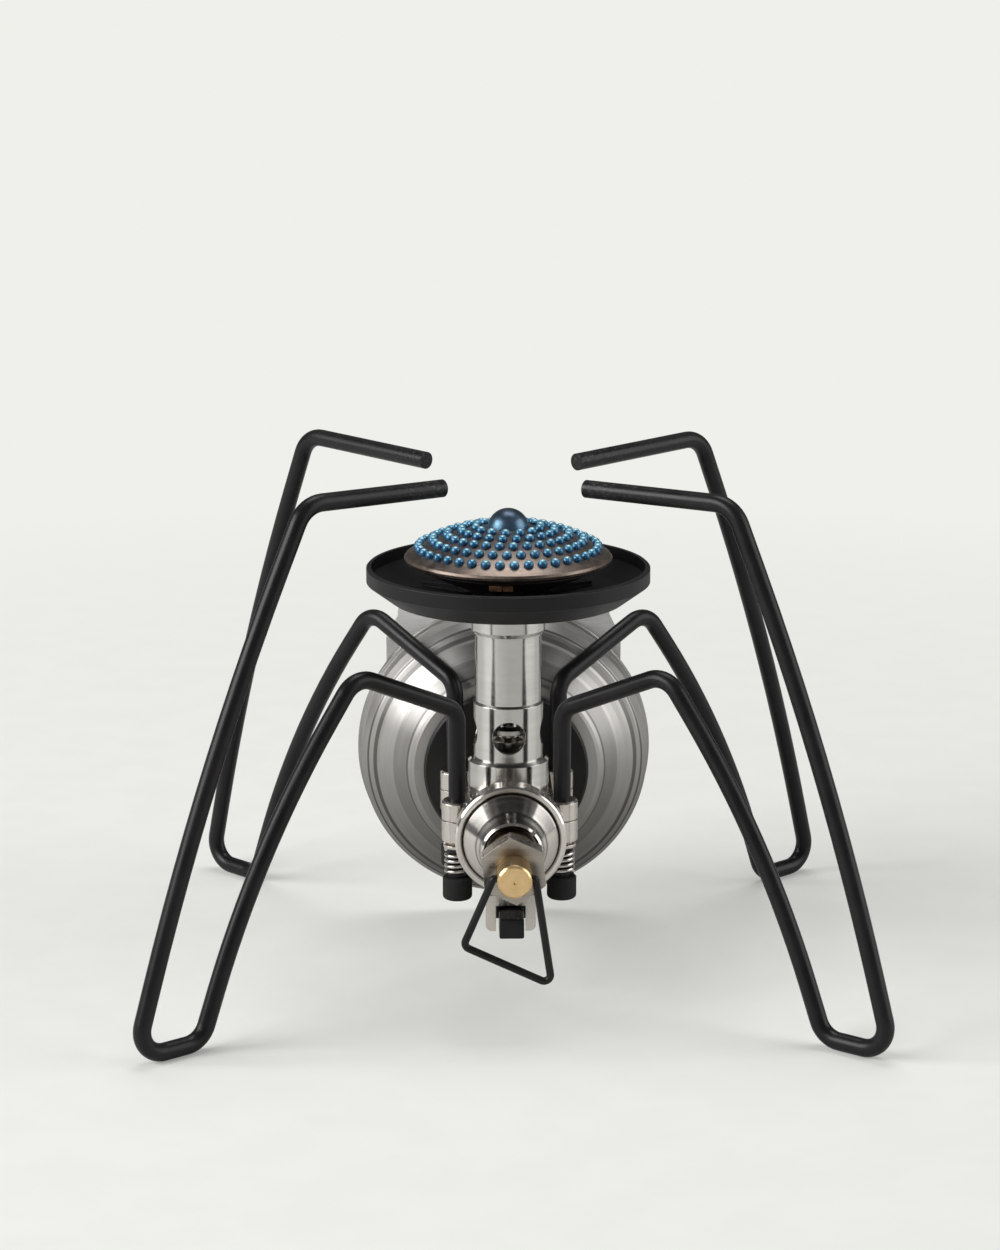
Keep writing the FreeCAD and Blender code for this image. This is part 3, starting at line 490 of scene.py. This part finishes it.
def curved_plate(name, radius, thick, heights, angles, finish):
    """A plate bent round the burner's axis, from one angle and height to the other; angles in degrees."""
    steps = 12
    corners = 4
    low, high = heights
    outer = radius + thick
    verts = []
    for k in range(steps + 1):
        turn = math.radians(angles[0] + (angles[1] - angles[0]) * k / steps)
        for r, z in ((radius, low), (outer, low), (outer, high), (radius, high)):
            verts.append((r * math.cos(turn), r * math.sin(turn), z))
    last = corners * steps
    faces = [(0, 1, 2, 3), (last + 3, last + 2, last + 1, last)]
    for k in range(steps):
        for j in range(corners):
            a = corners * k + j
            b = corners * k + (j + 1) % corners
            faces.append((a, a + corners, b + corners, b))
    mesh = bpy.data.meshes.new(name)
    mesh.from_pydata(verts, [], faces)
    mesh.materials.append(finish)
    plate = bpy.data.objects.new(name, mesh)
    bpy.context.scene.collection.objects.link(plate)
    soften = plate.modifiers.new("soften", "BEVEL")
    soften.width = 0.12 * MM
    soften.segments = 2
    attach(plate, "stove_frame")
    return plate


COPPER = SLOT_FINISH["copper_tint"]
PLATE_RADIUS = CUP_RADIUS - 2.1 * MM
PLATE_THICK = 0.5 * MM
PLATE_HEIGHTS = (HEAD_LOW - 2.6 * MM, HEAD_LOW - 0.7 * MM)
for name, angles in (("port_plate_left", (-104.0, -95.5)), ("port_plate_right", (-95.0, -88.5))):
    curved_plate(name, PLATE_RADIUS, PLATE_THICK, PLATE_HEIGHTS, angles, COPPER)


# ---------------------------------------------------------------- floor, light and camera

PALE = (0.863, 0.871, 0.831)    # the plain backdrop
PAPER = ((0.80, 0.807, 0.77), (0.82, 0.827, 0.79))
PAPER_IN_METAL = (0.68, 0.68, 0.66)
FLOOR_RADIUS = 6.0
PAPER_FADE = (0.2, 0.55)        # distances between which the lit paper gives way to the plain backdrop
PAPER_GLOW = 0.25               # share of backdrop even in the lit paper
DAYLIGHT = (0.98, 0.99, 1.0)

CAMERA_PLACE = (-0.01964, -0.70145, 0.25234)
CAMERA_TILT = 0.2384            # radians down from level
CAMERA_TURN = -0.0253           # radians from straight ahead; minus is to the right
CAMERA_LENS = 90.49             # focal length in mm


def plain_floor():
    """A round pale floor: lit paper that fades into the plain backdrop, and that metal mirrors dimmer."""
    bpy.ops.mesh.primitive_circle_add(vertices=96, radius=FLOOR_RADIUS, fill_type="NGON")
    floor = bpy.context.object
    floor.name = "floor"
    f = Finish("pale_floor")
    radius = f.polar("Z", BURNER_AXIS)[0]
    seen = f.add("ShaderNodeLightPath").outputs["Is Camera Ray"]
    speck = f.noise(f.place, 60, 3.0, 0.5)
    paper = f.mix(f.remap(speck, 0.4, 0.6, 0.0, 1.0), *PAPER)
    f.feed(f.shader.inputs["Base Color"], f.mix(seen, PAPER_IN_METAL, paper))
    f.shader.inputs["Roughness"].default_value = 0.7
    backdrop = f.add("ShaderNodeEmission")
    backdrop.inputs["Color"].default_value = (*PALE, 1.0)
    away = f.remap(radius, *PAPER_FADE, PAPER_GLOW, 1.0)
    blend = f.add("ShaderNodeMixShader")
    f.feed(blend.inputs["Fac"], f.calc("MULTIPLY", away, seen))
    f.tree.links.new(f.shader.outputs[0], blend.inputs[1])
    f.tree.links.new(backdrop.outputs[0], blend.inputs[2])
    f.tree.links.new(blend.outputs[0], f.tree.nodes["Material Output"].inputs["Surface"])
    floor.data.materials.append(f.material)


def studio_world(strength):
    """Even light from all round. The camera sees the plain backdrop in its place."""
    world = bpy.data.worlds.new("studio")
    world.use_nodes = True
    tree = world.node_tree
    surround = tree.nodes["Background"]
    surround.inputs["Color"].default_value = (*DAYLIGHT, 1.0)
    surround.inputs["Strength"].default_value = strength
    seen = tree.nodes.new("ShaderNodeBackground")
    seen.inputs["Color"].default_value = (*PALE, 1.0)
    rays = tree.nodes.new("ShaderNodeLightPath")
    choose = tree.nodes.new("ShaderNodeMixShader")
    tree.links.new(rays.outputs["Is Camera Ray"], choose.inputs["Fac"])
    tree.links.new(surround.outputs[0], choose.inputs[1])
    tree.links.new(seen.outputs[0], choose.inputs[2])
    tree.links.new(choose.outputs[0], tree.nodes["World Output"].inputs["Surface"])
    bpy.context.scene.world = world


def soft_light(name, place, width, height, power):
    """A soft box: a lit rectangle that faces the stove."""
    data = bpy.data.lights.new(name, "AREA")
    data.shape = "RECTANGLE"
    data.size = width
    data.size_y = height
    data.energy = power
    lamp = bpy.data.objects.new(name, data)
    lamp.location = place
    lamp.rotation_euler = (Vector(STOVE_MIDDLE) - Vector(place)).to_track_quat("-Z", "Y").to_euler()
    bpy.context.scene.collection.objects.link(lamp)


def eye(place, tilt_down, turn, lens):
    """The camera, at the viewing angle of a person seated in front of the stove."""
    data = bpy.data.cameras.new("camera")
    data.lens = lens
    data.clip_start = 0.01
    camera = bpy.data.objects.new("camera", data)
    camera.location = place
    camera.rotation_euler = (math.pi / 2 - tilt_down, 0.0, turn)
    bpy.context.scene.collection.objects.link(camera)
    bpy.context.scene.camera = camera


plain_floor()
studio_world(strength=0.14)
soft_light("key", (-1.6, -0.6, 0.95), width=1.5, height=1.1, power=40.0)
soft_light("fill", (1.7, -0.3, 0.75), width=1.5, height=1.5, power=18.0)
soft_light("top", (0.1, 0.5, 2.0), width=1.2, height=0.8, power=14.0)
eye(CAMERA_PLACE, CAMERA_TILT, CAMERA_TURN, CAMERA_LENS)
bpy.context.scene.view_settings.view_transform = "Standard"
